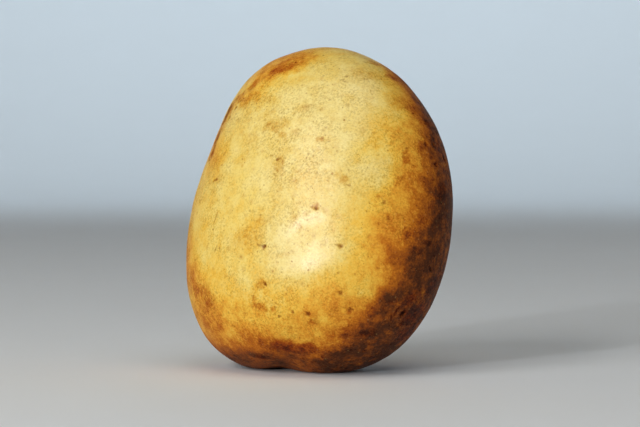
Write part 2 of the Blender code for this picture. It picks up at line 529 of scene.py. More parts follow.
FRONT_MARKS = (
    # The shoulder and the crown.
    Mark(Kind.CLOUD, -9.5, 89.2, 14.0, 7.0, 20, 1.5),
    Mark(Kind.STAIN, -10.3, 88.4, 8.0, 3.6, 22, 1.5),
    Mark(Kind.CLOUD, -3.0, 91.6, 9.0, 6.0, 10),
    Mark(Kind.CLOUD, -14.5, 86.3, 6.0, 4.0, 30),
    Mark(Kind.SCRATCH, -1.6, 88.6, 2.6, 0.8, 20, 0.7),
    Mark(Kind.STAIN, -19.1, 83.3, 4.6, 3.2, 45, 1.3),
    Mark(Kind.STAIN, -22.4, 80.4, 5.0, 3.6, 35, 1.2),
    Mark(Kind.CLOUD, -20.5, 79.5, 8.0, 4.6, 25, 1.2),
    Mark(Kind.FLECK, -22.7, 79.0, 1.7, 1.0, 20, 0.9),
    Mark(Kind.FLECK, -21.8, 81.5, 1.5, 0.8, 50, 0.9),
    Mark(Kind.FLECK, -19.6, 82.6, 1.7, 0.8, 42, 0.9),
    Mark(Kind.FLECK, -17.1, 79.5, 1.3, 0.9, 0, 0.7),
    Mark(Kind.FLECK, -20.0, 78.6, 1.1, 0.8, 0, 0.7),
    Mark(Kind.FLECK, -24.4, 76.4, 1.0, 0.8, 0, 0.9),
    Mark(Kind.FLECK, -18.0, 80.9, 1.2, 0.9, 0, 0.8),
    Mark(Kind.FLECK, -14.3, 84.6, 0.9, 0.8, 0, 0.8),
    Mark(Kind.FLECK, -15.2, 84.0, 0.7, 0.7, 0, 0.7),
    Mark(Kind.FLECK, -21.6, 77.8, 1.0, 0.8, 0, 0.8),
    Mark(Kind.FLECK, -23.2, 73.6, 1.2, 1.0, 0, 0.7),
    Mark(Kind.FLECK, -23.3, 71.2, 0.9, 1.2, 0, 0.6),
    Mark(Kind.PIT, -26.3, 78.4, 1.3, 1.1),
    Mark(Kind.PIT, -26.0, 74.2, 1.0, 1.2),
    Mark(Kind.STAIN, -27.6, 74.0, 9.0, 3.6, 74, 1.1),
    Mark(Kind.PIT, -26.0, 77.6, 1.6, 1.4, 0, 1.3),
    Mark(Kind.SCAB, -31.0, 64.2, 4.0, 2.0, 72, 0.9),
    Mark(Kind.STAIN, -31.2, 63.8, 4.4, 4.0, 72, 0.9),
    Mark(Kind.CLOUD, -30.0, 62.0, 5.0, 4.0, 0, 0.7),
    Mark(Kind.SCRATCH, 8.2, 85.7, 1.6, 0.6, -10),
    Mark(Kind.SCRATCH, 7.4, 84.8, 2.6, 0.7, -12),
    Mark(Kind.FLECK, 13.8, 85.2, 1.4, 1.1, 0, 0.8),
    Mark(Kind.CLOUD, 13.0, 87.0, 8.0, 4.0, -20),
    Mark(Kind.STAIN, 16.3, 90.0, 4.0, 2.6, -20, 1.1),
    Mark(Kind.STAIN, 21.0, 86.0, 4.0, 2.4, -25, 0.9),
    Mark(Kind.CLOUD, 22.5, 79.5, 6.0, 6.0, 0, 0.9),
    Mark(Kind.FLECK, 17.3, 82.6, 0.9, 0.8, 0, 0.8),
    Mark(Kind.FLECK, -1.7, 80.8, 1.0, 0.9, 0, 0.6),
    Mark(Kind.FLECK, 19.0, 74.3, 0.9, 0.8, 0, 0.9),
    # The upper face.
    Mark(Kind.CLOUD, -12.5, 72.2, 7.0, 4.2, 15, 1.2),
    Mark(Kind.FLECK, -10.4, 72.5, 0.9, 0.7, 0, 0.7),
    Mark(Kind.FLECK, -13.0, 71.6, 0.8, 0.7, 0, 0.6),
    Mark(Kind.CLOUD, -10.0, 69.2, 2.6, 2.0, 0, 1.4),
    Mark(Kind.CLOUD, 0.6, 68.0, 2.4, 1.8, 0, 1.5),
    Mark(Kind.FLECK, -5.3, 65.3, 1.1, 0.9, 0, 0.6),
    Mark(Kind.FLECK, -11.5, 62.3, 1.5, 0.9, 10, 1.0),
    Mark(Kind.CLOUD, -11.2, 60.4, 3.4, 5.0, 0, 1.0),
    Mark(Kind.CLOUD, -6.4, 70.0, 3.0, 2.0, 20, 0.9),
    Mark(Kind.CLOUD, -19.0, 68.0, 5.0, 3.0, 40, 0.8),
    Mark(Kind.CLOUD, -4.0, 77.0, 5.0, 3.0, 10, 0.8),
    Mark(Kind.CLOUD, -22.0, 62.0, 4.0, 5.0, 0, 0.7),
    Mark(Kind.FLECK, 2.4, 63.4, 1.2, 0.8, 30, 0.4),
    Mark(Kind.FLECK, 17.0, 63.6, 1.0, 0.8, 40, 0.6),
    Mark(Kind.FLECK, 16.7, 59.6, 0.8, 0.7, 0, 0.7),
    Mark(Kind.FLECK, 21.0, 66.9, 1.0, 0.8, 0, 0.7),
    Mark(Kind.FLECK, 25.2, 65.4, 1.1, 0.9, 0, 1.0),
    Mark(Kind.CLOUD, 7.4, 56.9, 3.0, 2.6, 0, 1.3),
    Mark(Kind.FLECK, 8.9, 57.4, 0.8, 0.7, 0, 0.5),
    Mark(Kind.FLECK, 8.8, 55.2, 1.3, 1.2, 0, 0.8),
    Mark(Kind.CLOUD, 5.0, 58.0, 1.6, 1.6, 0, 0.8),
    Mark(Kind.FLECK, -16.4, 53.6, 0.8, 0.7, 0, 1.0),
    Mark(Kind.FLECK, -25.3, 55.3, 0.7, 0.7, 0, 0.6),
    Mark(Kind.FLECK, 17.2, 52.0, 1.0, 0.8, 0, 0.8),
    Mark(Kind.FLECK, 15.2, 54.6, 0.9, 0.7, 0, 0.5),
    Mark(Kind.FLECK, 18.7, 50.2, 1.2, 1.3, 0, 1.2),
    Mark(Kind.STAIN, 23.6, 57.0, 2.4, 1.6, 40, 0.7),
    # The belly.
    Mark(Kind.DENT, -2.0, 43.0, 14.0, 5.0, 18, 0.9),
    Mark(Kind.STAIN, -0.6, 49.1, 2.2, 1.8, 0, 1.1),
    Mark(Kind.PIT, -1.7, 48.9, 0.9, 0.6, 15, 0.8),
    Mark(Kind.PIT, -0.6, 48.5, 1.0, 0.9, -60, 1.0),
    Mark(Kind.FLECK, -19.4, 47.5, 0.9, 0.8, 0, 0.7),
    Mark(Kind.FLECK, -18.4, 47.7, 0.9, 0.5, 20, 0.5),
    Mark(Kind.FLECK, -16.5, 46.4, 1.1, 1.0, 0, 0.9),
    Mark(Kind.CLOUD, -16.5, 45.0, 7.0, 4.0, 20, 0.8),
    Mark(Kind.CLOUD, -20.3, 39.8, 10.0, 8.5, 30, 1.0),
    Mark(Kind.FLECK, -22.6, 39.6, 1.0, 0.8, 0, 0.7),
    Mark(Kind.SCRATCH, -16.5, 37.9, 2.6, 0.8, -8, 1.1),
    Mark(Kind.PIT, -15.3, 37.5, 1.3, 1.2, -40, 1.1),
    Mark(Kind.SCRATCH, -29.4, 36.4, 2.6, 0.7, 65),
    Mark(Kind.SCRATCH, -28.4, 36.6, 1.8, 0.6, 115),
    Mark(Kind.FLECK, -7.4, 36.3, 1.6, 1.2, 0, 0.6),
    Mark(Kind.CLOUD, -10.4, 35.3, 2.6, 1.4, 30, 0.9),
    Mark(Kind.CLOUD, -6.6, 45.9, 2.2, 1.8, 0, 1.2),
    Mark(Kind.FLECK, -7.2, 47.2, 1.0, 0.7, 20, 0.5),
    Mark(Kind.FLECK, -9.4, 42.5, 0.9, 0.8, 0, 0.5),
    Mark(Kind.SCRATCH, 5.6, 38.4, 2.0, 0.8, -12, 1.1),
    Mark(Kind.PIT, 6.5, 38.0, 1.2, 1.1, -50, 1.1),
    Mark(Kind.FLECK, 19.7, 45.9, 1.3, 1.1, 0, 1.0),
    Mark(Kind.FLECK, 17.1, 44.4, 1.2, 0.9, 50, 0.8),
    Mark(Kind.FLECK, 14.5, 41.1, 1.3, 0.9, 20, 0.7),
    Mark(Kind.FLECK, 18.7, 40.2, 0.8, 0.7, 0, 0.6),
    Mark(Kind.FLECK, 23.1, 41.7, 1.0, 1.2, 0, 0.8),
    Mark(Kind.FLECK, 24.7, 43.0, 1.0, 0.9, 0, 0.8),
    Mark(Kind.STAIN, 26.2, 41.4, 3.2, 2.4, 20, 0.7),
    Mark(Kind.FLECK, 27.3, 52.6, 1.1, 0.8, 0, 0.8),
    Mark(Kind.FLECK, 21.1, 33.1, 1.3, 1.2, 0, 0.9),
    Mark(Kind.FLECK, 20.7, 34.3, 0.8, 0.8, 0, 0.8),
    Mark(Kind.FLECK, 16.8, 31.7, 1.2, 0.9, 0, 0.8),
    # The heel.
    Mark(Kind.DENT, -14.8, 23.6, 8.0, 6.5, 0, 0.8),
    Mark(Kind.FLECK, -6.0, 27.8, 1.0, 0.9, 0, 0.8),
    Mark(Kind.PIT, -15.0, 27.0, 1.4, 1.1, -30, 0.9),
    Mark(Kind.STAIN, -16.2, 27.4, 3.0, 1.2, 20, 0.8),
    Mark(Kind.CLOUD, -16.8, 26.6, 4.0, 3.0, 40, 0.9),
    Mark(Kind.CLOUD, -18.3, 23.6, 2.2, 5.0, -10, 0.8),
    Mark(Kind.STAIN, -16.6, 20.4, 4.4, 2.0, -22, 1.1),
    Mark(Kind.STAIN, -12.6, 20.0, 2.0, 1.8, 0, 1.1),
    Mark(Kind.SCRATCH, -12.2, 21.5, 1.8, 0.6, 0, 0.8),
    Mark(Kind.FLECK, -11.0, 17.9, 1.2, 1.0, 0, 1.2),
    Mark(Kind.FLECK, -7.2, 19.1, 1.3, 1.2, 0, 1.2),
    Mark(Kind.FLECK, -21.0, 18.3, 1.1, 1.0, 0, 0.6),
    Mark(Kind.PIT, -2.6, 18.8, 1.6, 1.2, -40, 1.1),
    Mark(Kind.STAIN, -1.9, 17.0, 4.2, 5.4, 10, 0.8),
    Mark(Kind.SCRATCH, 5.7, 25.1, 2.0, 0.8, -10, 1.0),
    Mark(Kind.PIT, 6.5, 24.8, 1.1, 1.0, -50, 0.9),
    Mark(Kind.PIT, 9.2, 20.1, 1.8, 1.3, 10, 1.0),
    Mark(Kind.CLOUD, 8.6, 22.6, 2.4, 5.0, 5, 0.9),
    Mark(Kind.FLECK, 5.0, 15.1, 1.0, 1.0, 0, 0.9),
    Mark(Kind.STAIN, 7.6, 14.0, 4.4, 3.0, 20, 0.8),
    Mark(Kind.FLECK, 20.8, 28.9, 1.5, 0.8, -20, 0.9),
    Mark(Kind.STAIN, -35.8, 24.0, 4.0, 3.4, 0, 0.9),
    Mark(Kind.STAIN, -34.0, 19.0, 6.0, 2.8, -60, 0.6),
    Mark(Kind.STAIN, -32.0, 21.3, 7.0, 5.6, 20, 0.9),
    Mark(Kind.FLECK, -24.5, 14.2, 1.0, 0.9, 0, 0.9),
    Mark(Kind.STAIN, -7.5, 8.8, 15.0, 4.4, -4, 1.6),
    Mark(Kind.SCAB, -9.2, 8.2, 2.0, 1.5, 0, 0.9),
    Mark(Kind.SCAB, -16.2, 5.0, 5.0, 2.4, -8, 0.9),
    # The russet flank. The four stains low by the floor are partly brown skin and partly painted shade.
    Mark(Kind.STAIN, 28.4, 18.5, 10.0, 8.0, 50, 1.3),
    Mark(Kind.STAIN, 25.4, 12.0, 9.0, 7.0, 40, 1.5),
    Mark(Kind.STAIN, 32.5, 25.5, 8.0, 6.0, 60, 1.1),
    Mark(Kind.STAIN, 26.4, 22.8, 7.0, 4.2, 30, 1.1),
    # Partly brown skin and partly painted shade along the right rim.
    Mark(Kind.STAIN, 34.8, 65.0, 9.0, 4.0, 100, 0.8),
    Mark(Kind.STAIN, 25.0, 63.0, 5.0, 2.2, 80, 0.9),
    Mark(Kind.STAIN, 29.6, 45.2, 4.4, 3.2, 0, 0.8),
    Mark(Kind.STAIN, 14.8, 19.4, 4.0, 3.0, 30, 0.8),
    Mark(Kind.STAIN, 26.4, 77.0, 5.0, 2.0, 0, 0.8),
    Mark(Kind.SCAB, 31.4, 72.4, 3.0, 2.6, -30, 1.0),
    Mark(Kind.PIT, 31.0, 66.6, 1.3, 1.4),
    Mark(Kind.PIT, 33.2, 66.6, 1.2, 1.8),
    Mark(Kind.PIT, 33.8, 60.8, 1.8, 1.6),
    Mark(Kind.PIT, 36.4, 62.2, 1.6, 1.6),
    Mark(Kind.SCAB, 35.4, 53.0, 5.0, 4.6, 0, 0.9),
    Mark(Kind.SCAB, 31.3, 38.6, 3.2, 2.0, -20, 0.8),
    Mark(Kind.STAIN, 28.2, 36.7, 3.4, 1.4, -18, 0.7),
    Mark(Kind.PIT, 32.0, 31.2, 1.4, 1.3),
    Mark(Kind.STAIN, 18.2, 23.1, 3.2, 1.6, 5, 0.3),
    Mark(Kind.SCAB, 20.9, 22.2, 2.8, 1.5, 10, 0.8),
    Mark(Kind.PIT, 24.2, 18.6, 1.4, 2.0, 0, 1.5),
    Mark(Kind.SCRATCH, 22.2, 19.4, 4.2, 0.7, 74, 1.6),
    Mark(Kind.SCRATCH, 20.8, 17.6, 3.4, 0.6, 100, 1.4),
    Mark(Kind.SCRATCH, 18.6, 20.4, 2.8, 0.6, 70, 1.4),
    Mark(Kind.SCRATCH, 23.4, 15.6, 3.0, 0.6, 60, 1.4),
    Mark(Kind.SCAB, 13.8, 12.8, 5.0, 3.4, 10, 0.9),
    Mark(Kind.PIT, 13.2, 7.6, 1.6, 1.2, 0, 0.8),
)

BACK_MARKS = (
    # Three eyes, each a shallow dent with a dark bud under a brown brow.
    Mark(Kind.DENT, -9.0, 69.0, 9.0, 6.0, 15, 0.9),
    Mark(Kind.STAIN, -9.5, 70.6, 7.0, 1.6, 18, 0.8),
    Mark(Kind.PIT, -8.7, 69.0, 2.2, 1.0, 12, 0.9),
    Mark(Kind.DENT, 14.5, 57.0, 8.0, 5.0, -10, 0.9),
    Mark(Kind.STAIN, 14.5, 58.6, 6.0, 1.5, -8, 0.8),
    Mark(Kind.PIT, 14.9, 57.2, 1.8, 0.9, -12, 0.9),
    Mark(Kind.DENT, 3.0, 42.0, 10.0, 6.0, 5, 0.9),
    Mark(Kind.STAIN, 3.0, 43.8, 7.5, 1.7, 6, 0.8),
    Mark(Kind.PIT, 3.4, 42.0, 2.2, 1.0, 5, 0.9),
    Mark(Kind.CLOUD, -10.0, 71.0, 13.0, 9.0, 20, 0.8),
    Mark(Kind.CLOUD, 2.0, 45.0, 14.0, 11.0, 0, 0.8),
    Mark(Kind.CLOUD, 18.0, 62.0, 12.0, 9.0, 40, 0.7),
    Mark(Kind.CLOUD, -22.0, 52.0, 10.0, 16.0, 10, 0.7),
    Mark(Kind.SCRATCH, -14.0, 47.0, 6.0, 0.7, 35),
    Mark(Kind.SCRATCH, 9.0, 74.0, 5.0, 0.7, -50, 0.8),
    Mark(Kind.SCAB, -20.0, 36.0, 4.0, 2.4, -20, 0.8),
    Mark(Kind.SCAB, -18.6, 33.8, 1.8, 1.4, 20, 0.8),
    Mark(Kind.PIT, 12.0, 28.0, 1.8, 1.2, 0, 0.9),
    Mark(Kind.STAIN, -2.0, 24.0, 9.0, 4.0, 15, 0.8),
    Mark(Kind.STAIN, 20.0, 22.0, 7.0, 5.0, -30, 0.8),
    Mark(Kind.PIT, -10.5, 18.0, 1.5, 1.3),
    Mark(Kind.STAIN, 6.0, 84.0, 7.0, 3.0, -20, 0.9),
    Mark(Kind.FLECK, -4.0, 79.0, 1.4, 1.0, 0, 0.9),
    Mark(Kind.FLECK, 21.0, 44.0, 1.4, 1.1, 30, 0.9),
    Mark(Kind.FLECK, -12.5, 58.5, 1.5, 1.0, -30, 0.9),
    Mark(Kind.FLECK, 8.0, 35.0, 1.3, 1.0, 0, 0.8),
)

LEFT_MARKS = (
    # The brown strip down the left shoulder.
    Mark(Kind.STAIN, -5.0, 75.0, 9.0, 5.0, 85, 0.9),
    Mark(Kind.STAIN, -6.0, 70.0, 8.0, 4.4, 80, 0.9),
    Mark(Kind.SCAB, -6.0, 75.0, 8.0, 4.4, 84, 1.2),
    Mark(Kind.SCAB, -4.6, 68.4, 6.0, 3.2, 82, 1.1),
    Mark(Kind.CLOUD, -7.0, 71.0, 16.0, 9.0, 85, 0.9),
    Mark(Kind.STAIN, -4.0, 62.8, 4.0, 3.4, 0, 0.9),
    # The brown band of the left flank.
    Mark(Kind.CLOUD, -6.0, 36.0, 24.0, 10.0, 88, 1.0),
    Mark(Kind.STAIN, -6.6, 33.0, 9.0, 3.6, 95, 0.7),
    Mark(Kind.CLOUD, 4.0, 60.0, 9.0, 12.0, 0, 0.8),
    Mark(Kind.DENT, 6.0, 56.0, 8.0, 5.0, 12, 0.8),
    Mark(Kind.PIT, 6.0, 56.0, 2.2, 1.0, 12, 0.9),
    Mark(Kind.CLOUD, -14.0, 60.0, 9.0, 12.0, 20, 0.8),
    Mark(Kind.PIT, -11.5, 42.0, 1.6, 1.2, 0, 0.9),
    Mark(Kind.CLOUD, -2.0, 27.0, 14.0, 9.0, 0, 0.8),
    Mark(Kind.STAIN, 9.0, 24.0, 5.0, 4.0, 0, 0.8),
    Mark(Kind.SCRATCH, 12.0, 45.0, 4.0, 0.7, 75),
    Mark(Kind.PIT, 0.0, 20.0, 1.5, 1.2, 0, 0.9),
)

RIGHT_MARKS = (
    Mark(Kind.SCAB, 8.0, 62.0, 5.0, 3.4, 20, 0.9),
    Mark(Kind.PIT, 12.0, 52.0, 1.8, 1.5, 0, 1.2),
    Mark(Kind.SCAB, -2.0, 44.0, 6.0, 4.0, -30, 0.8),
    Mark(Kind.DENT, 5.0, 37.0, 8.0, 5.0, -10),
    Mark(Kind.PIT, 4.0, 36.0, 2.0, 1.4, 0, 1.2),
    Mark(Kind.SCAB, 14.0, 30.0, 4.0, 3.0, 0, 0.9),
    Mark(Kind.PIT, -8.0, 26.0, 1.5, 1.5, 0, 1.2),
    Mark(Kind.SCRATCH, 3.0, 54.0, 5.0, 0.8, 60),
    Mark(Kind.STAIN, 21.0, 58.0, 8.0, 12.0, 0, 0.9),
    Mark(Kind.STAIN, 20.0, 36.0, 7.0, 9.0, 0, 0.9),
)

CROWN_MARKS = (
    Mark(Kind.DENT, 4.5, 12.5, 9.0, 5.0, 20, 0.9),
    Mark(Kind.STAIN, 5.0, 14.2, 6.5, 1.8, 22, 0.8),
    Mark(Kind.PIT, 4.4, 12.4, 2.4, 1.1, 20, 0.9),
    Mark(Kind.STAIN, -8.0, 16.0, 4.0, 3.0, 60, 0.8),
    Mark(Kind.PIT, 12.0, 3.0, 1.8, 1.0, -40, 0.9),
    Mark(Kind.CLOUD, -2.0, 20.0, 12.0, 8.0, 0, 0.8),
)

BASE_MARKS = (
    # The scar where the stolon was.
    Mark(Kind.SCAB, -10.5, 6.0, 5.0, 4.0, 0, 0.9),
    Mark(Kind.PIT, -10.5, 6.0, 2.4, 2.0, 0, 1.2),
    Mark(Kind.STAIN, 8.0, -12.0, 8.0, 5.0, 30, 0.9),
    Mark(Kind.STAIN, -20.0, -10.0, 7.0, 5.0, -20, 0.8),
    Mark(Kind.SCAB, 16.0, 9.0, 3.4, 2.2, 10, 0.8),
)

MARKS = {
    Side.FRONT: FRONT_MARKS,
    Side.BACK: BACK_MARKS,
    Side.LEFT: LEFT_MARKS,
    Side.RIGHT: RIGHT_MARKS,
    Side.CROWN: CROWN_MARKS,
    Side.BASE: BASE_MARKS,
}


# ---------------------------------------------------------------------------------------------------------
# Drawing up node trees
# ---------------------------------------------------------------------------------------------------------


class NodeSheet:
    """A node tree being drawn up, with short ways to add its nodes and wires."""

    def __init__(self, tree: bpy.types.NodeTree) -> None:
        """Starts on a tree."""
        self.tree = tree

    def feed(self, node: bpy.types.Node, sources: Sources) -> None:
        """Feeds a node's inputs.

        Args:
            node: The node.
            sources: What goes into its inputs, by the input's name or number: a wire or a plain value.
        """
        for socket, source in sources.items():
            if isinstance(source, Wire):
                self.tree.links.new(source, node.inputs[socket])
            else:
                node.inputs[socket].default_value = source

    def add(self, kind: str, sources: Sources | None = None, **settings: object) -> bpy.types.Node:
        """Adds a node.

        Args:
            kind: Blender's name for the node.
            sources: What goes into its inputs, as for feed.
            **settings: The node's own settings.

        Returns:
            The node.
        """
        node = self.tree.nodes.new(kind)
        for name, value in settings.items():
            setattr(node, name, value)
        self.feed(node, sources or {})
        return node

    def group(self, tree: bpy.types.NodeTree, sources: Sources) -> Sockets:
        """Places a shader node group with its own values, and gives its outputs."""
        return self.add("ShaderNodeGroup", sources, node_tree=tree).outputs

    def math(self, operation: str, *values: Wire | float, clamp: bool = False) -> Wire:
        """One sum on numbers, such as ADD or MULTIPLY."""
        sources = dict(enumerate(values))
        return self.add("ShaderNodeMath", sources, operation=operation, use_clamp=clamp).outputs[0]

    def vector(self, operation: str, *values: Wire | tuple) -> Sockets:
        """One sum on vectors, such as SUBTRACT or DISTANCE, as its outputs."""
        return self.add("ShaderNodeVectorMath", dict(enumerate(values)), operation=operation).outputs

    def times(self, vector: Wire, length: Wire | float) -> Wire:
        """Makes a vector a number of times as long."""
        return self.add("ShaderNodeVectorMath", {0: vector, "Scale": length}, operation="SCALE").outputs[0]

    def ease(self, value: Wire, start: Wire | float, end: Wire | float) -> Wire:
        """Eases a value to 0 at start and 1 at end."""
        sources = {"Value": value, "From Min": start, "From Max": end}
        return self.add("ShaderNodeMapRange", sources, interpolation_type="SMOOTHSTEP").outputs[0]

    def spread(self, share: Wire, least: float, most: float) -> Wire:
        """Spreads a share from 0 to 1 over the values from least to most."""
        return self.math("MULTIPLY_ADD", share, most - least, least)

    def blend(
        self, share: Wire | float, below: Wire | Colour, above: Wire | Colour, way: str = "MIX"
    ) -> Wire:
        """Lays a share of an upper colour over a lower one, in one of Blender's ways to mix."""
        sources = {0: share, 6: below, 7: above}
        return self.add("ShaderNodeMix", sources, data_type="RGBA", blend_type=way).outputs[2]

    def ramp(self, value: Wire, stops: list[tuple[float, Colour]]) -> Wire:
        """Turns a value into a colour.

        Args:
            value: The value, from 0 to 1.
            stops: The ramp's places and the colours there, in rising order.

        Returns:
            The colour.
        """
        node = self.add("ShaderNodeValToRGB", {"Fac": value})
        held = node.color_ramp.elements
        held[0].position, held[0].color = stops[0]
        held[1].position, held[1].color = stops[-1]
        for place, colour in stops[1:-1]:
            held.new(place).color = colour
        return node.outputs["Color"]


def name_sockets(
    tree: bpy.types.NodeTree, inputs: dict[str, object], outputs: dict[str, str]
) -> dict[str, str]:
    """Gives a node group its named inputs and outputs.

    Args:
        tree: The group.
        inputs: A name and its default for each input. A default of None stands for a geometry, three
            numbers for a vector, an int for a whole number, and any other number for a float.
        outputs: A name and Blender's socket type for each output.

    Returns:
        The identifier of each named input.
    """
    found = {}
    for name, default in inputs.items():
        kind = "NodeSocketFloat"
        if default is None:
            kind = "NodeSocketGeometry"
        elif isinstance(default, tuple):
            kind = "NodeSocketVector"
        elif isinstance(default, int):
            kind = "NodeSocketInt"
        socket = tree.interface.new_socket(name, in_out="INPUT", socket_type=kind)
        if default is not None:
            socket.default_value = default
        found[name] = socket.identifier
    for name, kind in outputs.items():
        tree.interface.new_socket(name, in_out="OUTPUT", socket_type=kind)
    return found


# ---------------------------------------------------------------------------------------------------------
# The skin's unevenness and lenticels
# ---------------------------------------------------------------------------------------------------------


@dataclass
class SkinGrowth:
    """The Geometry Nodes tree that makes the skin uneven and sets lenticels all over it.

    A pore's strength runs from the faintest to 1. It starts to sink at its rim and is sunk at its floor,
    which are in radii of the pore. Most pores is how many a square metre may hold before the gap thins them.
    """

    wave_length: float = 17 * MM
    wave_height: float = 0.32 * MM
    ripple_length: float = 5 * MM
    ripple_height: float = 0.09 * MM
    wave_detail: float = 2.0
    pore_gap: float = 3.6 * MM
    pore_smallest: float = 0.45 * MM
    pore_largest: float = 1.0 * MM
    pore_depth: float = 0.06 * MM
    pore_faintest: float = 0.1
    pore_rim: float = 1.25
    pore_floor: float = 0.2
    most_pores: float = 2e5
    seed: int = 11

    def sizes(self) -> dict[str, float]:
        """The tree's named sizes and its seed."""
        return {
            "Wave length": self.wave_length,
            "Wave height": self.wave_height,
            "Ripple length": self.ripple_length,
            "Ripple height": self.ripple_height,
            "Pore gap": self.pore_gap,
            "Smallest pore": self.pore_smallest,
            "Largest pore": self.pore_largest,
            "Pore depth": self.pore_depth,
            "Seed": self.seed,
        }

    def tree(self, skin: bpy.types.Material) -> tuple[bpy.types.NodeTree, dict[str, str]]:
        """Draws up the tree.

        Args:
            skin: The material that the tree sets.

        Returns:
            The tree and its inputs' identifiers by name.
        """
        tree = bpy.data.node_groups.new("Skin growth", "GeometryNodeTree")
        inputs = {"Geometry": None, **self.sizes()}
        identifiers = name_sockets(tree, inputs, {"Geometry": "NodeSocketGeometry"})
        sheet = NodeSheet(tree)
        given = sheet.add("NodeGroupInput").outputs
        uneven = self.move_out(sheet, given["Geometry"], self.waves(sheet, given))
        pored = self.pores(sheet, given, uneven)
        whole = sheet.add("GeometryNodeRealizeInstances", {"Geometry": pored}).outputs[0]
        dressed = sheet.add("GeometryNodeSetMaterial", {"Geometry": whole, "Material": skin}).outputs[0]
        sheet.add("NodeGroupOutput", {"Geometry": dressed})
        return tree, identifiers

    def waves(self, sheet: NodeSheet, given: Sockets) -> Wire:
        """Makes the skin's long waves and short ripples.

        Args:
            sheet: The tree's sheet.
            given: The tree's inputs.

        Returns:
            How far the skin moves out, in metres.
        """
        place = sheet.add("GeometryNodeInputPosition").outputs[0]
        total: Wire | float = 0.0
        for length, height in (("Wave length", "Wave height"), ("Ripple length", "Ripple height")):
            scale = sheet.math("DIVIDE", 1.0, given[length])
            sources = {"Vector": place, "Scale": scale, "Detail": self.wave_detail}
            swell = sheet.add("ShaderNodeTexNoise", sources).outputs[0]
            swell = sheet.math("MULTIPLY", sheet.math("SUBTRACT", swell, 0.5), 2.0)
            total = sheet.math("ADD", total, sheet.math("MULTIPLY", swell, given[height]))
        return total

    def move_out(self, sheet: NodeSheet, geometry: Wire, amount: Wire) -> Wire:
        """Moves the skin along the way that it faces, and keeps it above the floor.

        Args:
            sheet: The tree's sheet.
            geometry: The skin.
            amount: How far it moves out, in metres.

        Returns:
            The moved skin.
        """
        push = sheet.times(sheet.add("GeometryNodeInputNormal").outputs[0], amount)
        place = sheet.add("GeometryNodeInputPosition").outputs[0]
        moved = sheet.vector("ADD", place, push)[0]
        lifted = sheet.vector("MAXIMUM", moved, (-1.0, -1.0, 0.0))[0]
        return sheet.add("GeometryNodeSetPosition", {"Geometry": geometry, "Position": lifted}).outputs[0]

    def pores(self, sheet: NodeSheet, given: Sockets, skin: Wire) -> Wire:
        """Scatters lenticels over the skin, presses them in, and stores how much of one each vertex is.

        Args:
            sheet: The tree's sheet.
            given: The tree's inputs.
            skin: The skin.

        Returns:
            The skin with its lenticels.
        """
        seed = given["Seed"]
        sources = {
            "Mesh": skin,
            "Distance Min": given["Pore gap"],
            "Density Max": self.most_pores,
            "Seed": seed,
        }
        scatter = sheet.add("GeometryNodeDistributePointsOnFaces", sources, distribute_method="POISSON")
        sources = {2: given["Smallest pore"], 3: given["Largest pore"], "Seed": seed}
        radius = sheet.add("FunctionNodeRandomValue", sources, data_type="FLOAT").outputs[1]
        sources = {2: self.pore_faintest, 3: 1.0, "Seed": sheet.math("ADD", seed, 1.0)}
        strength = sheet.add("FunctionNodeRandomValue", sources, data_type="FLOAT").outputs[1]
        points = self.store(sheet, scatter.outputs["Points"], "pore radius", radius)
        points = self.store(sheet, points, "pore strength", strength)

        place = sheet.add("GeometryNodeInputPosition").outputs[0]
        nearest = sheet.add("GeometryNodeSampleNearest", {"Geometry": points}).outputs[0]
        sources = {"Geometry": points, "Value": place, "Index": nearest}
        middle = sheet.add("GeometryNodeSampleIndex", sources, data_type="FLOAT_VECTOR").outputs[0]
        sampled = {}
        for name in ("pore radius", "pore strength"):
            sources = {"Geometry": points, "Value": self.stored(sheet, name), "Index": nearest}
            sampled[name] = sheet.add("GeometryNodeSampleIndex", sources, data_type="FLOAT").outputs[0]
        away = sheet.vector("DISTANCE", place, middle)["Value"]
        away = sheet.math("DIVIDE", away, sampled["pore radius"])
        sunk = sheet.ease(away, self.pore_rim, self.pore_floor)
        share = sheet.math("MULTIPLY", sunk, sampled["pore strength"])
        skin = self.store(sheet, skin, Channel.LENTICEL.value, share)
        depth = sheet.math("MULTIPLY", self.stored(sheet, Channel.LENTICEL.value), given["Pore depth"])
        return self.move_out(sheet, skin, sheet.math("MULTIPLY", depth, -1.0))

    def store(self, sheet: NodeSheet, geometry: Wire, name: str, value: Wire) -> Wire:
        """Stores a number on each point of a geometry.

        Args:
            sheet: The tree's sheet.
            geometry: The geometry.
            name: The name that the number is stored under.
            value: The number.

        Returns:
            The geometry with the number.
        """
        sources = {"Geometry": geometry, "Name": name, "Value": value}
        stored = sheet.add("GeometryNodeStoreNamedAttribute", sources, data_type="FLOAT", domain="POINT")
        return stored.outputs[0]

    def stored(self, sheet: NodeSheet, name: str) -> Wire:
        """Reads the number that is stored under a name."""
        return sheet.add("GeometryNodeInputNamedAttribute", {"Name": name}, data_type="FLOAT").outputs[0]

    def grow(self, piece: bpy.types.Object, skin: bpy.types.Material) -> None:
        """Grows the unevenness and the lenticels on a piece, and leaves it a plain mesh.

        Args:
            piece: The marked skin.
            skin: The material that it gets.
        """
        tree, identifiers = self.tree(skin)
        growth = piece.modifiers.new("skin growth", "NODES")
        growth.node_group = tree
        for name, value in self.sizes().items():
            growth[identifiers[name]] = value
        make_plain(piece)


# ---------------------------------------------------------------------------------------------------------
# Patterns that the finishes share
# ---------------------------------------------------------------------------------------------------------


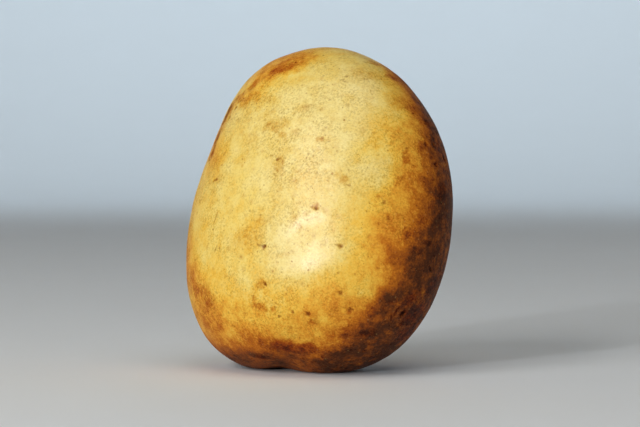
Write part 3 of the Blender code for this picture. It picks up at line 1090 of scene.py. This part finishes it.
class SurfaceEffects:
    """The node groups that the finishes share, each built once.

    A fleck's outline bends by up to half of fleck_bend, and fades in between the two places of fleck_rim, in
    radii. Torn detail and roughness are those of the clouds that tear a ragged edge.
    """

    fleck_bend: float = 0.5 * MM
    fleck_bend_scale: float = 1800.0
    fleck_rim: Span = (1.2, 0.6)
    torn_detail: float = 5.0
    torn_roughness: float = 0.62

    def __init__(self) -> None:
        """Builds the groups."""
        self.mottle = self.build_mottle()
        self.ragged = self.build_ragged()
        self.flecks = self.build_flecks()

    def start(
        self, name: str, inputs: dict[str, object], outputs: tuple[str, ...]
    ) -> tuple[NodeSheet, Sockets]:
        """Starts a group.

        Args:
            name: Its name.
            inputs: A name and its default for each input.
            outputs: The names of its outputs, which are numbers.

        Returns:
            The group's sheet and what it is given.
        """
        tree = bpy.data.node_groups.new(name, "ShaderNodeTree")
        name_sockets(tree, inputs, dict.fromkeys(outputs, "NodeSocketFloat"))
        sheet = NodeSheet(tree)
        return sheet, sheet.add("NodeGroupInput").outputs

    def build_mottle(self) -> bpy.types.NodeTree:
        """Makes the group for a cloudy value round 0.5, whose clouds have a given size in metres.

        Returns:
            The group.
        """
        inputs = {"Place": (0.0, 0.0, 0.0), "Size": 0.01, "Detail": 3.0, "Roughness": 0.55, "Contrast": 1.0}
        sheet, given = self.start("Mottle", inputs, ("Value",))
        sources = {
            "Vector": given["Place"],
            "Scale": sheet.math("DIVIDE", 1.0, given["Size"]),
            "Detail": given["Detail"],
            "Roughness": given["Roughness"],
        }
        cloud = sheet.math("SUBTRACT", sheet.add("ShaderNodeTexNoise", sources).outputs[0], 0.5)
        value = sheet.math("ADD", sheet.math("MULTIPLY", cloud, given["Contrast"]), 0.5)
        sheet.add("NodeGroupOutput", {"Value": value})
        return sheet.tree

    def build_ragged(self) -> bpy.types.NodeTree:
        """Makes the group that turns a soft share into a mask with a ragged edge.

        The edge is most ragged where the share is a half. A share of 0 stays 0, and 1 stays 1.

        Returns:
            The group.
        """
        inputs = {"Share": 0.5, "Place": (0.0, 0.0, 0.0), "Size": 0.002, "Raggedness": 1.0, "Edge": 0.25}
        sheet, given = self.start("Ragged edge", inputs, ("Mask",))
        sources = {
            "Place": given["Place"],
            "Size": given["Size"],
            "Detail": self.torn_detail,
            "Roughness": self.torn_roughness,
        }
        cloud = sheet.math("SUBTRACT", sheet.group(self.mottle, sources)[0], 0.5)
        rest = sheet.math("SUBTRACT", 1.0, given["Share"])
        between = sheet.math("MULTIPLY", sheet.math("MULTIPLY", given["Share"], rest), 4.0)
        push = sheet.math("MULTIPLY", sheet.math("MULTIPLY", cloud, between), given["Raggedness"])
        start = sheet.math("SUBTRACT", 0.5, given["Edge"])
        end = sheet.math("ADD", 0.5, given["Edge"])
        mask = sheet.ease(sheet.math("ADD", given["Share"], push), start, end)
        sheet.add("NodeGroupOutput", {"Mask": mask})
        return sheet.tree

    def build_flecks(self) -> bpy.types.NodeTree:
        """Makes the group for small round flecks of mixed sizes, a given gap apart in metres.

        Smallest and largest are in gaps, share is how many of the flecks are there, and tone is a number
        of each fleck's own.

        Returns:
            The group.
        """
        inputs = {"Place": (0.0, 0.0, 0.0), "Gap": 0.002, "Smallest": 0.1, "Largest": 0.3, "Share": 0.5}
        sheet, given = self.start("Flecks", inputs, ("Mask", "Tone"))
        sources = {"Vector": given["Place"], "Scale": self.fleck_bend_scale, "Detail": 1.0}
        bend = sheet.add("ShaderNodeTexNoise", sources).outputs["Color"]
        bend = sheet.times(sheet.vector("SUBTRACT", bend, (0.5, 0.5, 0.5))[0], self.fleck_bend)
        place = sheet.vector("ADD", given["Place"], bend)[0]
        sources = {"Vector": place, "Scale": sheet.math("DIVIDE", 1.0, given["Gap"])}
        cells = sheet.add("ShaderNodeTexVoronoi", sources).outputs
        tone = sheet.add("ShaderNodeSeparateColor", {0: cells["Color"]}).outputs
        span = sheet.math("SUBTRACT", given["Largest"], given["Smallest"])
        radius = sheet.math("ADD", given["Smallest"], sheet.math("MULTIPLY", span, tone[0]))
        dot = sheet.ease(sheet.math("DIVIDE", cells["Distance"], radius), *self.fleck_rim)
        there = sheet.math("LESS_THAN", tone[1], given["Share"])
        sheet.add("NodeGroupOutput", {"Mask": sheet.math("MULTIPLY", dot, there), "Tone": tone[2]})
        return sheet.tree


@dataclass(frozen=True)
class Clouds:
    """A cloudy pattern round 0.5. Its size is in metres."""

    size: float
    detail: float = 3.0
    roughness: float = 0.55
    contrast: float = 1.0

    def sources(self) -> Sources:
        """The clouds as inputs of their group."""
        return {
            "Size": self.size,
            "Detail": self.detail,
            "Roughness": self.roughness,
            "Contrast": self.contrast,
        }


@dataclass(frozen=True)
class Patches:
    """Soft patches cut out of clouds: least up to where the clouds reach start, and most past end."""

    clouds: Clouds
    start: float
    end: float
    least: float = 0.0
    most: float = 1.0


@dataclass(frozen=True)
class RaggedEdge:
    """A ragged edge. The size of its notches is in metres."""

    size: float
    raggedness: float
    softness: float


@dataclass(frozen=True)
class FleckLayer:
    """A layer of small round flecks. Their gap is in metres, and their sizes are in gaps."""

    gap: float
    smallest: float
    largest: float
    strength: float = 1.0


class MaterialSheet(NodeSheet):
    """A material being drawn up, with the shared effects at hand."""

    def __init__(self, name: str, effects: SurfaceEffects) -> None:
        """Starts a material.

        Args:
            name: Its name.
            effects: The shared node groups.
        """
        self.material = bpy.data.materials.new(name)
        self.material.use_nodes = True
        super().__init__(self.material.node_tree)
        self.effects = effects
        self.place = self.add("ShaderNodeTexCoord").outputs["Object"]

    def clouds(self, clouds: Clouds, place: Wire | None = None) -> Wire:
        """Draws clouds, at the place on the piece or at one that is given."""
        sources = {"Place": self.place if place is None else place, **clouds.sources()}
        return self.group(self.effects.mottle, sources)[0]

    def patches(self, patches: Patches) -> Wire:
        """Draws patches, as a value from their least to their most."""
        share = self.ease(self.clouds(patches.clouds), patches.start, patches.end)
        return self.spread(share, patches.least, patches.most)

    def tear(self, share: Wire, edge: RaggedEdge) -> Wire:
        """Turns a soft share into a mask with a ragged edge.

        Args:
            share: The share.
            edge: The edge.

        Returns:
            The mask.
        """
        sources = {
            "Share": share,
            "Place": self.place,
            "Size": edge.size,
            "Raggedness": edge.raggedness,
            "Edge": edge.softness,
        }
        return self.group(self.effects.ragged, sources)[0]

    def flecks(self, layer: FleckLayer, share: Wire | float) -> Sockets:
        """Draws a layer of flecks.

        Args:
            layer: The layer.
            share: How many of its flecks are there, from 0 to 1.

        Returns:
            The flecks' mask and tone.
        """
        sources = {
            "Place": self.place,
            "Gap": layer.gap,
            "Smallest": layer.smallest,
            "Largest": layer.largest,
            "Share": share,
        }
        return self.group(self.effects.flecks, sources)

    def finish(self, sources: Sources) -> bpy.types.Material:
        """Feeds the material's shader, and gives the material."""
        self.feed(self.tree.nodes["Principled BSDF"], sources)
        return self.material


# ---------------------------------------------------------------------------------------------------------
# Finishes
# ---------------------------------------------------------------------------------------------------------


@dataclass(frozen=True)
class SkinColours:
    """The skin's colours, as linear red, green, blue and 1.

    The first seven run from the cleanest skin to the brownest, and chaff is the colour of its palest specks.
    The rest multiply the skin under them: stains, grains, blotches, lenticels, pepper and scabs.
    """

    cream: Colour = (0.780, 0.628, 0.235, 1.0)
    straw: Colour = (0.755, 0.555, 0.140, 1.0)
    gold: Colour = (0.755, 0.460, 0.060, 1.0)
    amber: Colour = (0.690, 0.320, 0.028, 1.0)
    burnt: Colour = (0.500, 0.150, 0.007, 1.0)
    russet: Colour = (0.280, 0.068, 0.005, 1.0)
    bark: Colour = (0.085, 0.023, 0.004, 1.0)
    chaff: Colour = (0.900, 0.640, 0.230, 1.0)
    stain_shade: Colour = (0.660, 0.400, 0.080, 1.0)
    grain_light: Colour = (1.090, 1.090, 1.080, 1.0)
    grain_dark: Colour = (0.700, 0.600, 0.360, 1.0)
    blotch_shade: Colour = (0.740, 0.580, 0.300, 1.0)
    lenticel_shade: Colour = (0.720, 0.500, 0.220, 1.0)
    pepper_shade: Colour = (0.500, 0.300, 0.080, 1.0)
    scab_shade: Colour = (0.280, 0.150, 0.050, 1.0)

    def scale(self) -> list[tuple[float, Colour]]:
        """The seven ground colours on a scale from 0 to 1."""
        return [
            (0.00, self.cream),
            (0.20, self.straw),
            (0.38, self.gold),
            (0.54, self.amber),
            (0.70, self.burnt),
            (0.85, self.russet),
            (1.00, self.bark),
        ]


@dataclass(frozen=True)
class SkinFinish:
    """The skin's material: thin, dry and a little waxy, golden where clean and brown where netted.

    Reliefs are in shares of the bump's depth. Spans are where a value starts to count and where it counts
    fully, or the least and the most that it gives.
    """

    colours: SkinColours = SkinColours()

    # The ground, from cream to bark. The netting is drawn aside, so that its clouds aren't the ground's own.
    ground_clouds: tuple[Clouds, ...] = (Clouds(13 * MM, contrast=0.48), Clouds(4.5 * MM, contrast=0.36))
    fine_clouds: tuple[Clouds, ...] = (Clouds(1.6 * MM, contrast=0.30), Clouds(0.55 * MM, contrast=0.45))
    fine_base: float = 0.25
    netting: Clouds = Clouds(2.6 * MM, detail=5.0, roughness=0.7, contrast=1.5)
    net_shift: tuple[float, float, float] = (0.31, 0.17, 0.23)

    # The blotches, and the grain that darkens the skin between them.
    blotches: Patches = Patches(
        Clouds(0.9 * MM, detail=4.0, roughness=0.7), 0.48, 0.66, least=0.2, most=0.95
    )
    blotch_clusters: Patches = Patches(Clouds(4.5 * MM), 0.42, 0.64, least=0.2, most=1.1)
    blotched: Span = (0.0, 0.8)
    grains: Patches = Patches(Clouds(0.6 * MM, roughness=0.65), 0.42, 0.68)
    grain_clusters: Patches = Patches(Clouds(7 * MM), 0.38, 0.62, least=0.45, most=1.25)
    grained: Span = (0.35, 1.05)

    # The stains, the scabs and the lenticels.
    stain_edge: RaggedEdge = RaggedEdge(1.3 * MM, raggedness=1.3, softness=0.5)
    stain_wear: Patches = Patches(
        Clouds(1.4 * MM, detail=4.0, roughness=0.7), 0.38, 0.62, least=0.60, most=1.15
    )
    scab_edge: RaggedEdge = RaggedEdge(0.8 * MM, raggedness=1.0, softness=0.45)
    scab_strength: float = 0.85
    grit: Clouds = Clouds(0.5 * MM, detail=2.0, roughness=0.6, contrast=1.3)
    lenticel_grit: Span = (0.1, 0.9)

    # The pepper and the chaff.
    pepper: tuple[FleckLayer, ...] = (
        FleckLayer(0.9 * MM, 0.14, 0.34, strength=0.60),
        FleckLayer(2.1 * MM, 0.08, 0.22, strength=0.90),
    )
    net_pepper: FleckLayer = FleckLayer(1.4 * MM, 0.12, 0.40, strength=1.10)
    netted: Span = (0.15, 0.75)
    chaff: FleckLayer = FleckLayer(1.3 * MM, 0.08, 0.22)
    chaff_share: float = 0.35
    chaff_strength: Span = (0.10, 0.20)

    # The gloss.
    roughness: Span = (0.38, 0.60)
    corky: Span = (0.25, 0.8)
    scab_roughness: float = 0.35
    pepper_roughness: float = 0.22
    grit_roughness: float = 0.10
    specular: float = 0.17
    wax: float = 0.72
    waxed: Span = (0.30, 0.10)
    wax_roughness: float = 0.33

    # The relief.
    bump_depth: float = 1.0 * MM
    leather: Clouds = Clouds(1.1 * MM, detail=2.0, roughness=0.5)
    grit_relief: float = 0.04
    leather_relief: float = 0.06
    pepper_relief: float = -0.02
    net_relief: float = 0.25
    scab_relief: float = -0.05

    def build(self, effects: SurfaceEffects) -> bpy.types.Material:
        """Makes the material.

        Args:
            effects: The shared node groups.

        Returns:
            The material.
        """
        sheet = MaterialSheet("potato_skin", effects)
        share = {c: sheet.add("ShaderNodeAttribute", attribute_name=c.value).outputs["Fac"] for c in Channel}
        grit = sheet.clouds(self.grit)
        stain = sheet.tear(share[Channel.STAIN], self.stain_edge)
        stain = sheet.math("MULTIPLY", stain, sheet.patches(self.stain_wear))
        scab = sheet.tear(share[Channel.SCAB], self.scab_edge)
        brown, net = self.brownness(sheet, share)

        tones = self.colours
        colour = self.blotched_ground(sheet, share[Channel.FRECKLE], sheet.ramp(brown, tones.scale()))
        colour = sheet.blend(stain, colour, tones.stain_shade, "MULTIPLY")
        lenticel = sheet.math("MULTIPLY", share[Channel.LENTICEL], sheet.spread(grit, *self.lenticel_grit))
        colour = sheet.blend(lenticel, colour, tones.lenticel_shade, "MULTIPLY")
        colour, pepper = self.peppered(sheet, share, colour)
        scabbed = sheet.math("MULTIPLY", scab, self.scab_strength)
        colour = sheet.blend(scabbed, colour, tones.scab_shade, "MULTIPLY")

        rough = sheet.spread(sheet.ease(brown, *self.corky), *self.roughness)
        rough = sheet.math("MULTIPLY_ADD", scab, self.scab_roughness, rough)
        rough = sheet.math("MULTIPLY_ADD", pepper, self.pepper_roughness, rough)
        uneven = sheet.math("SUBTRACT", grit, 0.5)
        rough = sheet.math("MULTIPLY_ADD", uneven, self.grit_roughness, rough, clamp=True)

        reliefs = (
            (grit, self.grit_relief),
            (sheet.clouds(self.leather), self.leather_relief),
            (pepper, self.pepper_relief),
            (net, self.net_relief),
            (scab, self.scab_relief),
        )
        height: Wire | float = 0.0
        for pattern, relief in reliefs:
            height = sheet.math("MULTIPLY_ADD", pattern, relief, height)
        bump = sheet.add("ShaderNodeBump", {"Height": height, "Distance": self.bump_depth}).outputs[0]

        wax = sheet.math("MULTIPLY", sheet.ease(share[Channel.WARMTH], *self.waxed), self.wax)
        sources = {
            "Base Color": colour,
            "Roughness": rough,
            "Normal": bump,
            "Coat Weight": wax,
            "Coat Roughness": self.wax_roughness,
            "Specular IOR Level": self.specular,
        }
        return sheet.finish(sources)

    def brownness(self, sheet: MaterialSheet, share: dict[Channel, Wire]) -> tuple[Wire, Wire]:
        """Where the skin is on the scale from cream to bark, and how netted it is.

        Args:
            sheet: The material's sheet.
            share: The skin's channels.

        Returns:
            The place on the scale, and the netting's own push on it.
        """
        total = share[Channel.WARMTH]
        for clouds in self.ground_clouds:
            total = sheet.math("ADD", total, sheet.math("SUBTRACT", sheet.clouds(clouds), 0.5))
        fine: Wire | float = 0.0
        for clouds in self.fine_clouds:
            fine = sheet.math("ADD", fine, sheet.math("SUBTRACT", sheet.clouds(clouds), 0.5))
        reach = sheet.math("ADD", share[Channel.FRECKLE], self.fine_base)
        total = sheet.math("MULTIPLY_ADD", fine, reach, total)
        aside = sheet.vector("ADD", sheet.place, self.net_shift)[0]
        net = sheet.math("SUBTRACT", sheet.clouds(self.netting, aside), 0.5)
        net = sheet.math("MULTIPLY", share[Channel.RUSSET], net)
        return sheet.math("ADD", net, total), net

    def blotched_ground(self, sheet: MaterialSheet, freckle: Wire, ground: Wire) -> Wire:
        """Lays clusters of small brownish blotches over the ground.

        Args:
            sheet: The material's sheet.
            freckle: How freckled the skin is.
            ground: The colour under the blotches.

        Returns:
            The colour.
        """
        mask = sheet.math("MULTIPLY", sheet.patches(self.blotch_clusters), sheet.patches(self.blotches))
        mask = sheet.math("MULTIPLY", mask, sheet.ease(freckle, *self.blotched))
        return sheet.blend(mask, ground, self.colours.blotch_shade, "MULTIPLY")

    def peppered(self, sheet: MaterialSheet, share: dict[Channel, Wire], ground: Wire) -> tuple[Wire, Wire]:
        """Sprinkles fine grain, dark pepper and pale chaff over the ground.

        Args:
            sheet: The material's sheet.
            share: The skin's channels.
            ground: The colour under the pepper.

        Returns:
            The colour, and where the grain and the pepper are.
        """
        freckle = share[Channel.FRECKLE]
        netted = sheet.ease(share[Channel.RUSSET], *self.netted)
        total = sheet.math("MULTIPLY", sheet.patches(self.grains), sheet.spread(freckle, *self.grained))
        total = sheet.math("MULTIPLY", total, sheet.patches(self.grain_clusters))
        shade = sheet.blend(total, self.colours.grain_light, self.colours.grain_dark)
        colour = sheet.blend(1.0, ground, shade, "MULTIPLY")
        layers = [(layer, freckle) for layer in self.pepper] + [(self.net_pepper, netted)]
        for layer, there in layers:
            dots = sheet.flecks(layer, there)
            mask = sheet.math("MULTIPLY", dots["Mask"], sheet.math("MULTIPLY", dots["Tone"], layer.strength))
            colour = sheet.blend(mask, colour, self.colours.pepper_shade, "MULTIPLY")
            total = sheet.math("ADD", total, mask)
        chaff = sheet.flecks(self.chaff, self.chaff_share)["Mask"]
        chaff = sheet.math("MULTIPLY", chaff, sheet.spread(netted, *self.chaff_strength))
        return sheet.blend(chaff, colour, self.colours.chaff), total


@dataclass(frozen=True)
class StageFinish:
    """The stage's material: matt, pale and plain, with a faint unevenness."""

    colour: Colour = (0.84, 0.86, 0.88, 1.0)
    darker: float = 0.9
    clouds: Clouds = Clouds(50 * MM, contrast=0.2)
    roughness: float = 0.8
    specular: float = 0.2

    def build(self, effects: SurfaceEffects) -> bpy.types.Material:
        """Makes the material.

        Args:
            effects: The shared node groups.

        Returns:
            The material.
        """
        sheet = MaterialSheet("stage", effects)
        dark = tuple(self.darker * part for part in self.colour[:3]) + (1.0,)
        sources = {
            "Base Color": sheet.blend(sheet.clouds(self.clouds), dark, self.colour),
            "Roughness": self.roughness,
            "Specular IOR Level": self.specular,
        }
        return sheet.finish(sources)


# ---------------------------------------------------------------------------------------------------------
# The potato, the stage, the lights and the camera
# ---------------------------------------------------------------------------------------------------------


@dataclass
class Potato:
    """The potato: one skin, grown on the form, tinted, marked and dressed."""

    form: TuberForm
    growth: SkinGrowth
    finish: SkinFinish
    stray: StrayFlecks

    def build(self, effects: SurfaceEffects) -> bpy.types.Object:
        """Makes the skin.

        Args:
            effects: The shared node groups.

        Returns:
            The finished piece.
        """
        piece = self.form.wrap()
        log.info("wrapped the form: %d faces", len(piece.data.polygons))
        self.mark(SkinSheet(piece))
        log.info("marked the skin: %d marks", sum(map(len, MARKS.values())) + self.stray.count)
        self.growth.grow(piece, self.finish.build(effects))
        piece.data.shade_smooth()
        return piece

    def mark(self, skin: SkinSheet) -> None:
        """Tints the skin, and presses the marks into it.

        Args:
            skin: The skin.
        """
        for channel, zones in ZONES.items():
            for zone in zones:
                zone.tint(skin, channel)
        for side, marks in MARKS.items():
            for mark in marks:
                mark.press(skin, side)
        self.stray.scatter(skin)
        skin.finish()

    def declare(self, piece: bpy.types.Object) -> None:
        """Tells the frame what the piece stands for.

        Args:
            piece: The finished piece.
        """
        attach(piece, "root")
        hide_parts("potato")


@dataclass
class Stage:
    """A plain pale floor that curves up into a wall all round."""

    floor_radius: float = 1.5
    bend_radius: float = 1.0
    wall_height: float = 2.6
    bend_steps: int = 16
    turn_steps: int = 96
    merge_distance: float = 0.1 * MM

    def build(self, finish: StageFinish, effects: SurfaceEffects) -> bpy.types.Object:
        """Turns the stage's outline about the upright axis.

        Args:
            finish: The stage's finish.
            effects: The shared node groups.

        Returns:
            The stage.
        """
        shape = bmesh.new()
        outline = [shape.verts.new((0, 0, 0)), shape.verts.new((self.floor_radius, 0, 0))]
        for step in range(1, self.bend_steps + 1):
            angle = math.pi / 2 * step / self.bend_steps
            out = self.floor_radius + self.bend_radius * math.sin(angle)
            outline.append(shape.verts.new((out, 0, self.bend_radius * (1 - math.cos(angle)))))
        outline.append(shape.verts.new((self.floor_radius + self.bend_radius, 0, self.wall_height)))
        edges = [shape.edges.new(pair) for pair in zip(outline, outline[1:])]
        bmesh.ops.spin(
            shape,
            geom=outline + edges,
            axis=(0, 0, 1),
            cent=(0, 0, 0),
            angle=math.tau,
            steps=self.turn_steps,
            use_merge=True,
        )
        bmesh.ops.remove_doubles(shape, verts=shape.verts[:], dist=self.merge_distance)
        bmesh.ops.recalc_face_normals(shape, faces=shape.faces[:])
        if min(shape.faces, key=lambda face: face.calc_center_median().length).normal.z < 0:
            bmesh.ops.reverse_faces(shape, faces=shape.faces[:])
        mesh = bpy.data.meshes.new("stage")
        shape.to_mesh(mesh)
        shape.free()
        mesh.shade_smooth()
        mesh.materials.append(finish.build(effects))
        stage = bpy.data.objects.new("stage", mesh)
        bpy.context.scene.collection.objects.link(stage)
        return stage


@dataclass(frozen=True)
class SoftLight:
    """One soft rectangular light that shines at a target.

    Left is the degrees from straight ahead of the potato round to its left, above the degrees above the
    floor, and lean the degrees that the top of the rectangle leans to the left. Sizes are in metres.
    """

    name: str
    left: float
    above: float
    distance: float
    width: float
    length: float
    power: float
    colour: tuple[float, float, float]
    lean: float = 0.0
    spread: float = 180.0

    def build(self, target: Vector) -> None:
        """Makes the light.

        Args:
            target: The point that the light shines at.
        """
        light = bpy.data.lights.new(self.name, "AREA")
        light.shape = "RECTANGLE"
        light.size = self.width
        light.size_y = self.length
        light.energy = self.power
        light.color = self.colour
        light.spread = math.radians(self.spread)
        left, above = math.radians(self.left), math.radians(self.above)
        level = math.cos(above)
        away = Vector((-math.sin(left) * level, -math.cos(left) * level, math.sin(above)))
        lean = Quaternion((0, 0, 1), math.radians(self.lean))
        lamp = bpy.data.objects.new(self.name, light)
        lamp.location = target + away * self.distance
        lamp.rotation_euler = ((-away).to_track_quat("-Z", "Y") @ lean).to_euler()
        lamp.visible_camera = False
        bpy.context.scene.collection.objects.link(lamp)


@dataclass
class StudioLights:
    """A long soft key light from the left, a small one for the shine, one above and one on the wall."""

    key: SoftLight = SoftLight(
        "key", left=38, above=30, distance=1.3, width=0.44, length=0.84, power=7.1,
        colour=(1.0, 0.975, 0.92), lean=42,
    )
    shine: SoftLight = SoftLight(
        "shine", left=34, above=8, distance=1.3, width=0.06, length=0.06, power=6.6,
        colour=(0.93, 0.965, 1.0),
    )
    top: SoftLight = SoftLight(
        "top", left=-22, above=70, distance=1.6, width=1.2, length=1.2, power=6.1,
        colour=(1.0, 0.97, 0.90),
    )
    wall: SoftLight = SoftLight(
        "wall", left=0, above=38, distance=1.9, width=1.6, length=0.5, power=7.0,
        colour=(0.72, 0.88, 1.0), spread=100,
    )
    wall_spot: tuple[float, float, float] = (0.0, 2.4, 0.35)
    fill_strength: float = 0.06
    fill_colour: Colour = (1.0, 0.96, 0.90, 1.0)

    def build(self, middle: Vector) -> None:
        """Makes the lights and the even fill.

        Args:
            middle: The middle of the potato.
        """
        for light in (self.key, self.shine, self.top):
            light.build(middle)
        self.wall.build(Vector(self.wall_spot))
        world = bpy.data.worlds.new("fill")
        world.use_nodes = True
        background = world.node_tree.nodes["Background"]
        background.inputs["Color"].default_value = self.fill_colour
        background.inputs["Strength"].default_value = self.fill_strength
        bpy.context.scene.world = world


@dataclass
class StudioCamera:
    """A long lens a little above the middle of the potato, level with its left and right."""

    aside: float = 0.6 * MM
    distance: float = 760 * MM
    height: float = 75 * MM
    aim_height: float = 45.9 * MM
    lens: float = 145.4
    sensor: float = 36.0

    def build(self) -> bpy.types.Object:
        """Makes the camera and makes it the scene's.

        Returns:
            The camera.
        """
        lens = bpy.data.cameras.new("camera")
        lens.lens = self.lens
        lens.sensor_width = self.sensor
        camera = bpy.data.objects.new("camera", lens)
        camera.location = (self.aside, -self.distance, self.height)
        aim = Vector((self.aside, 0, self.aim_height)) - camera.location
        camera.rotation_euler = aim.to_track_quat("-Z", "Y").to_euler()
        bpy.context.scene.collection.objects.link(camera)
        bpy.context.scene.camera = camera
        return camera


def main() -> None:
    """Builds the potato, the stage, the lights and the camera."""
    logging.basicConfig(level=logging.INFO, format="%(name)s: %(message)s")
    effects = SurfaceEffects()
    potato = Potato(form=TuberForm(), growth=SkinGrowth(), finish=SkinFinish(), stray=StrayFlecks())
    piece = potato.build(effects)
    potato.declare(piece)
    log.info("%s: %d faces", piece.name, len(piece.data.polygons))
    stage = Stage().build(StageFinish(), effects)
    log.info("%s: %d faces", stage.name, len(stage.data.polygons))
    low, high = CAD_BOX
    StudioLights().build((low + high) / 2)
    StudioCamera().build()
    bpy.context.scene.view_settings.view_transform = "Standard"


if __name__ == "__main__":
    main()
